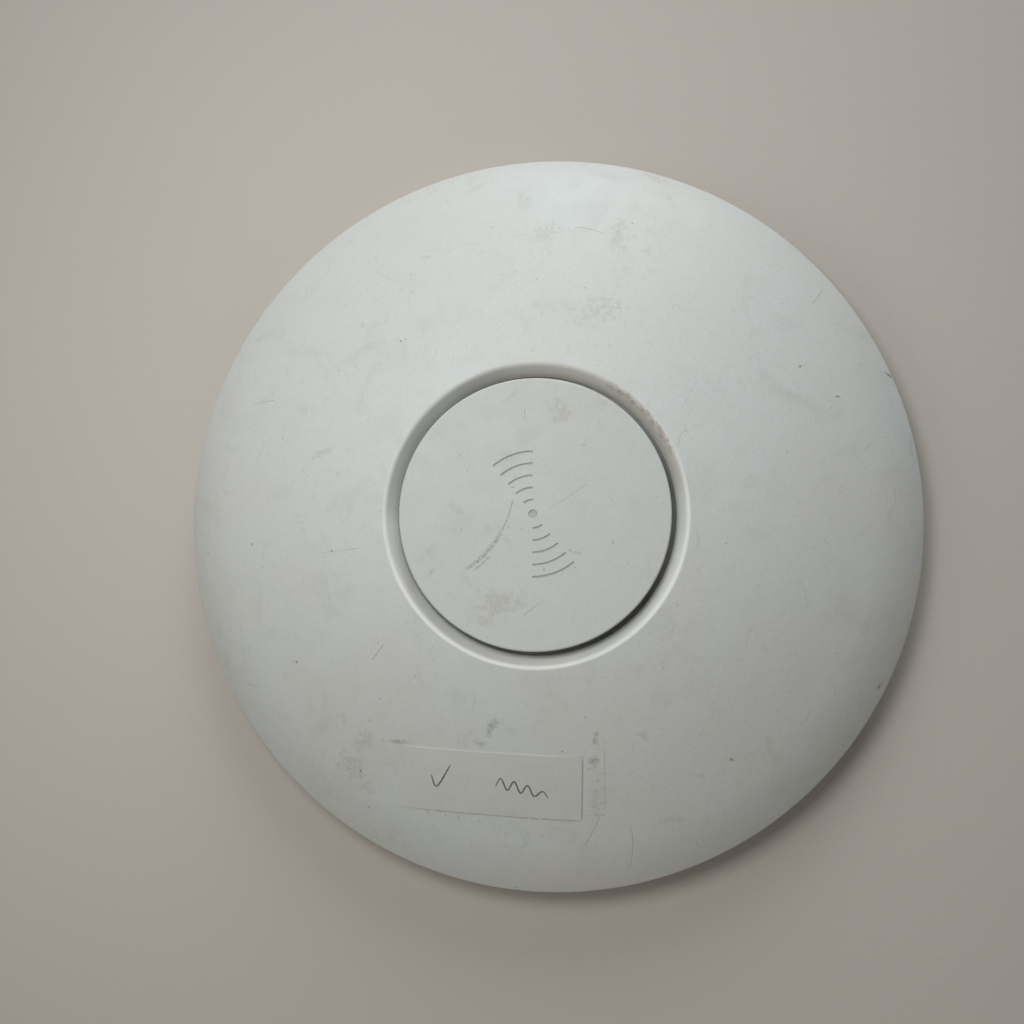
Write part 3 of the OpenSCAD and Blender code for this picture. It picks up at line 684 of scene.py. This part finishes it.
def cap_section():
    """Closed section of the cap, from the middle of its face over the edge and back inside."""
    edge = 0.45 * MM
    skirt = 1.9 * MM
    step = 0.04 * MM
    radii = [0, MARK_DOT / 2, MARK_DOT - step, MARK_DOT, 2 * MM]
    for r in MARK_RADII:
        inner, outer = r - MARK_HALF_WIDTH, r + MARK_HALF_WIDTH
        radii += [inner, inner + step, outer - step, outer, r + 1.5 * MM]
    radii += spaced(19 * MM, CAP_R - edge - 0.1 * MM, 1.5 * MM)
    points = [Vector((r, FACE_Z)) for r in radii]
    points += arc(Vector((CAP_R - edge, FACE_Z - edge)), edge, 0, math.pi / 2, 8)
    points += [Vector((CAP_R, z)) for z in spaced(FACE_Z - 2 * edge, GUIDE_TOP + 0.15 * MM, 0.8 * MM)]
    points += [Vector((CAP_R - 0.15 * MM, GUIDE_TOP)), Vector((CAP_R - skirt, GUIDE_TOP))]
    points += [Vector((CAP_R - skirt, FACE_Z - WALL)), Vector((0, FACE_Z - WALL))]
    return points


def add_hook(bm, angle):
    """Snap hook under the cap: an L-shaped section turned through a short arc."""
    foot = CAP_LOW.z
    section = [(29, 0), (31.2, 0), (31.5, 0.9), (30.6, 0.9)]
    section = [Vector((r * MM, foot + z * MM)) for r, z in section]
    section += [Vector((30.6 * MM, FACE_Z - 1 * MM)), Vector((29 * MM, FACE_Z - 1 * MM))]
    rings = []
    for turn in spaced(angle - math.radians(7), angle + math.radians(7), math.radians(1)):
        rings.append([bm.verts.new((p.x * math.cos(turn), p.x * math.sin(turn), p.y)) for p in section])
    for a, b in zip(rings, rings[1:]):
        for i in range(len(section)):
            j = (i + 1) % len(section)
            bm.faces.new((a[i], a[j], b[j], b[i]))
    bm.faces.new(rings[0])
    bm.faces.new(rings[-1])


def centre_cap():
    """Flat cap with its engraved mark and three snap hooks."""
    bm = bmesh.new()
    add_lathe(bm, cap_section(), 720, relief=mark_relief)
    for turn in (90, 210, 330):
        add_hook(bm, math.radians(turn))
    piece = finish_mesh("centre_cap_disc", bm, MATERIALS["cap"], "unit")
    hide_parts("centre_cap")


# ---------------------------------------------------------------- tape


def tape_point(u, v, lift):
    """Point of the tape from its own plan coordinates, laid on the dome."""
    spin = Matrix.Rotation(TAPE_ANGLE, 2)
    flat = TAPE_CENTRE + spin @ Vector((u, v))
    return Vector((flat.x, flat.y, Dome.height(flat.x, flat.y) + lift))


def add_grid_shell(bm, top, bottom):
    """Closed slab between two grids of points of the same shape."""
    layers = [[[bm.verts.new(p) for p in row] for row in grid] for grid in (top, bottom)]
    rows, columns = len(top), len(top[0])
    for layer in layers:
        for i in range(rows - 1):
            for j in range(columns - 1):
                bm.faces.new((layer[i][j], layer[i + 1][j], layer[i + 1][j + 1], layer[i][j + 1]))
    rim = [(i, 0) for i in range(rows)] + [(rows - 1, j) for j in range(1, columns)]
    rim += [(i, columns - 1) for i in range(rows - 2, -1, -1)] + [(0, j) for j in range(columns - 2, 0, -1)]
    upper, lower = layers
    for (i, j), (k, m) in zip(rim, rim[1:] + rim[:1]):
        bm.faces.new((upper[i][j], upper[k][m], lower[k][m], lower[i][j]))


def tape_strip():
    """Paper strip that follows the dome, torn at its left end, with slightly lifted corners."""
    half_l, half_w = TAPE_SIZE[0] / 2, TAPE_SIZE[1] / 2
    columns, rows = 120, 44
    top, bottom = [], []
    for j in range(columns + 1):
        upper, under = [], []
        for i in range(rows + 1):
            v = -half_w + TAPE_SIZE[1] * i / rows
            tear = 0.5 * MM * noise.noise(Vector((3.1, v / (1.4 * MM), 0))) + 0.3 * MM
            u = -half_l + tear + (TAPE_SIZE[0] - tear) * j / columns
            end = max(0.0, abs(u) / half_l - 0.86) / 0.14
            side = max(0.0, abs(v) / half_w - 0.7) / 0.3
            curl = 0.1 * MM * end * side
            wave = 0.012 * MM * noise.noise(Vector((u, v, 0)) / (3 * MM))
            upper.append(tape_point(u, v, TAPE_T - 0.02 * MM + wave + curl))
            under.append(tape_point(u, v, 0.01 * MM + curl))
        top.append(upper)
        bottom.append(under)
    bm = bmesh.new()
    add_grid_shell(bm, top, bottom)
    piece = finish_mesh("tape_strip_paper", bm, MATERIALS["tape"], "unit")
    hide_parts("tape_strip")


def smooth_path(knots):
    """Catmull-Rom curve through plan points, ten steps to each span."""
    steps = 10
    ends = [knots[0]] + knots + [knots[-1]]
    points = []
    for a, b, c, d in zip(ends, ends[1:], ends[2:], ends[3:]):
        slope, bend, twist = c - a, 2 * a - 5 * b + 4 * c - d, 3 * b - a - 3 * c + d
        for i in range(steps):
            t = i / steps
            points.append(0.5 * (2 * b + slope * t + bend * t**2 + twist * t**3))
    return points + [knots[-1]]


def pen_stroke(name, knots):
    """A thin pen line on the tape, thinner at its ends."""
    path = smooth_path([Vector(k) * MM for k in knots])
    top, bottom = [], []
    for i, here in enumerate(path):
        ahead = path[min(i + 1, len(path) - 1)] - path[max(i - 1, 0)]
        side = Vector((-ahead.y, ahead.x)).normalized()
        taper = min(1.0, 0.45 + 3 * min(i, len(path) - 1 - i) / len(path))
        half = 0.2 * MM * taper
        edges = [here + side * half * s for s in (-1, 0, 1)]
        top.append([tape_point(p.x, p.y, TAPE_T + 0.01 * MM) for p in edges])
        bottom.append([tape_point(p.x, p.y, TAPE_T - 0.06 * MM) for p in edges])
    bm = bmesh.new()
    add_grid_shell(bm, top, bottom)
    piece = finish_mesh(name, bm, MATERIALS["ink"], "unit")


def pen_marks():
    """A tick and a wavy line, in place of writing."""
    pen_stroke("pen_tick", [(-14.6, 1.2), (-13.2, -1.8), (-9.4, 4.4)])
    first_waves = [(2.2, -0.6), (3.6, 1.6), (5.2, -1.4), (7, 1), (8.6, -2)]
    last_waves = [(10.4, 0.2), (12, -2.6), (14.2, -1.2), (15.6, -3)]
    pen_stroke("pen_wave", first_waves + last_waves)


# ---------------------------------------------------------------- CAD nodes that stay


def dress_nodes():
    """Gives every CAD node that stays its procedural material, by its slot in the record."""
    replaced = {"front_cover", "centre_cap", "tape_strip"}
    for part in frame["record"]["subparts"]:
        node = part["node"]
        if node in replaced:
            continue
        mesh = frame["nodes"][node].data
        mesh.materials.clear()
        mesh.materials.append(MATERIALS[part["material_slot"]])


# ---------------------------------------------------------------- stage


def floor():
    """Plain pale floor under the bracket, painted lighter far out as painted light, where only the side
    views look.
    """
    size, rows = 9, 24
    near, far = 0.28, 1.1
    bm = bmesh.new()
    bmesh.ops.create_grid(bm, x_segments=rows, y_segments=rows, size=size)
    mesh = bpy.data.meshes.new("floor")
    bm.to_mesh(mesh)
    bm.free()
    shade = Shade("floor")
    tone = shade.mix(shade.noise(0.3, 3), (0.56, 0.52, 0.47), (0.52, 0.48, 0.43))
    # Painted light: the floor's colour is lifted away from the object, where the lamps reach less.
    painted_light_far_out = shade.soft(shade.vector("LENGTH", shade.local(0, 0)), near, far, 0, 0.95)
    tone = shade.mix(painted_light_far_out, tone, (0.88, 0.87, 0.85))
    shade.set(Base_Color=tone, Roughness=0.8, Normal=shade.bump(shade.noise(1.5 * MM, 3), 0.05 * MM))
    mesh.materials.append(shade.material)
    ground = bpy.data.objects.new("floor", mesh)
    bpy.context.collection.objects.link(ground)


def area_light(name, place, size, power, colour=(1, 1, 1), spread=180):
    """Soft square light that faces the object, with a grid that holds its spread in degrees."""
    data = bpy.data.lights.new(name, "AREA")
    data.energy = power
    data.size = size
    data.color = colour
    data.spread = math.radians(spread)
    lamp = bpy.data.objects.new(name, data)
    lamp.location = place
    lamp.rotation_euler = (-Vector(place)).to_track_quat("-Z", "Y").to_euler()
    lamp.visible_camera = False
    bpy.context.collection.objects.link(lamp)


def around(turn, rise, away):
    """Point at a turn from +X and a rise above the floor, in degrees, and a distance away."""
    turn, rise = math.radians(turn), math.radians(rise)
    flat = away * math.cos(rise)
    return (flat * math.cos(turn), flat * math.sin(turn), away * math.sin(rise) + 0.03)


def lights():
    """Small lamp high on the left, a broad window beyond the object, two weak fills and pale air."""
    area_light("key", around(124, 70, 0.28), 0.1, 0.375, (0.985, 1, 1.0))
    area_light("window", around(83, 18, 1.0), 0.56, 2.35, (0.97, 1, 1.035), 110)
    area_light("left_fill", around(180, 40, 0.45), 0.25, 0.25, (1.03, 1, 0.95))
    area_light("low_fill", around(270, 20, 0.45), 0.25, 0.22, (1.06, 1, 0.92))
    world = bpy.data.worlds.new("world")
    bpy.context.scene.world = world
    world.use_nodes = True
    world.node_tree.nodes["Background"].inputs["Color"].default_value = (1, 0.985, 0.96, 1)
    world.node_tree.nodes["Background"].inputs["Strength"].default_value = 0.125
    bpy.context.scene.view_settings.view_transform = "Standard"


def camera():
    """Looks down on the face from 23 cm above it, a little to its lower right."""
    data = bpy.data.cameras.new("camera")
    data.sensor_width = 36
    data.lens = 32.34
    data.clip_start = 0.01
    view = bpy.data.objects.new("camera", data)
    bpy.context.collection.objects.link(view)
    back = Vector((0.1181, -0.0559, 0.9914)).normalized()
    right = Vector((0.993, 0, -0.1183)).normalized()
    up = back.cross(right)
    turn = Matrix((right, up, back)).transposed().to_4x4()
    view.matrix_world = Matrix.Translation((0.02166, -0.01221, 0.26195)) @ turn
    bpy.context.scene.camera = view


camera()
front_cover()
centre_cap()
tape_strip()
pen_marks()
dress_nodes()
floor()
lights()
